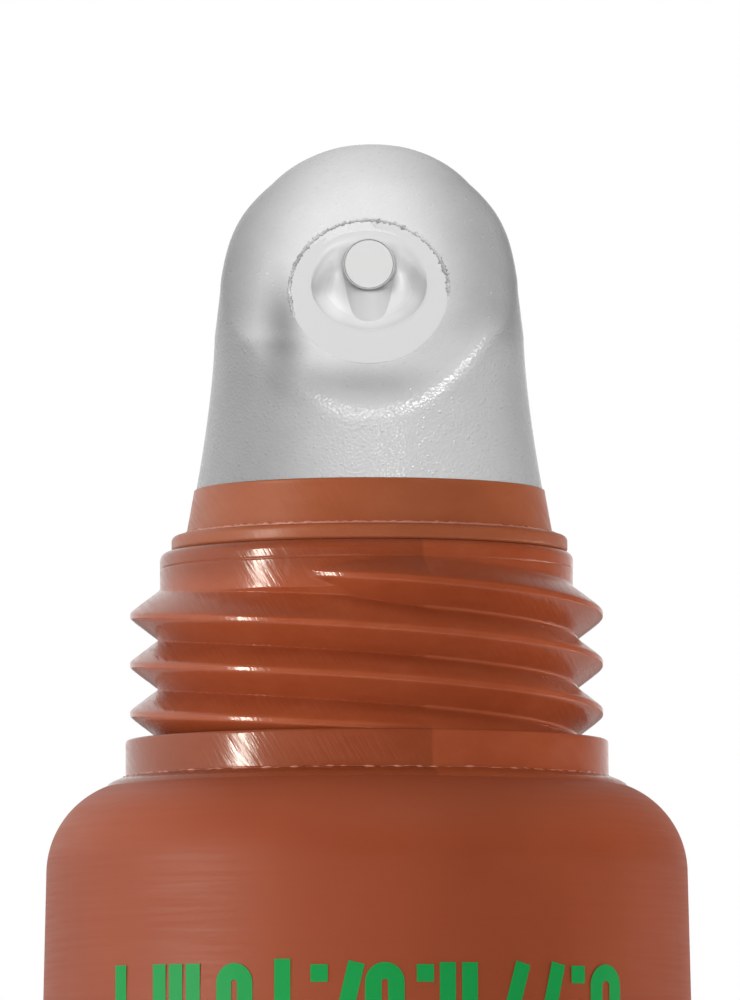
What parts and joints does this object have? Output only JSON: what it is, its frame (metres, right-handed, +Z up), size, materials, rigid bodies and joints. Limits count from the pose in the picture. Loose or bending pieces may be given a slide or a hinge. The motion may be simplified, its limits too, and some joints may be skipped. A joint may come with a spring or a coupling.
{
  "type": "lip balm tube",
  "caption": "Open squeeze tube of lip balm: round shoulder, flat sealed tail, threaded neck and a slanted soft translucent applicator with a small orifice.",
  "frame": {"origin": "middle of the tail seal's bottom face, at the bottom centre of the bounding box", "axes": "+Z up along the tube's axis from the sealed tail to the applicator, X along the flat seal, -Y the side that the slanted applicator face looks to"},
  "size_m": [0.0246, 0.016, 0.0813],
  "materials": {
    "sleeve_plastic": "satin soft polyethylene",
    "moulded_plastic": "smooth injection moulded",
    "frosted_plastic": "frosted, translucent, soft",
    "clear_plastic": "clear, glossy",
    "balm": "soft balm, slightly glossy"
  },
  "bodies": {
    "root": {"sleeve": "sleeve_plastic", "tube_head": "moulded_plastic", "applicator_base": "moulded_plastic", "applicator_tip": "frosted_plastic", "nozzle_insert": "clear_plastic", "balm_fill": "balm"}
  },
  "joints": []
}
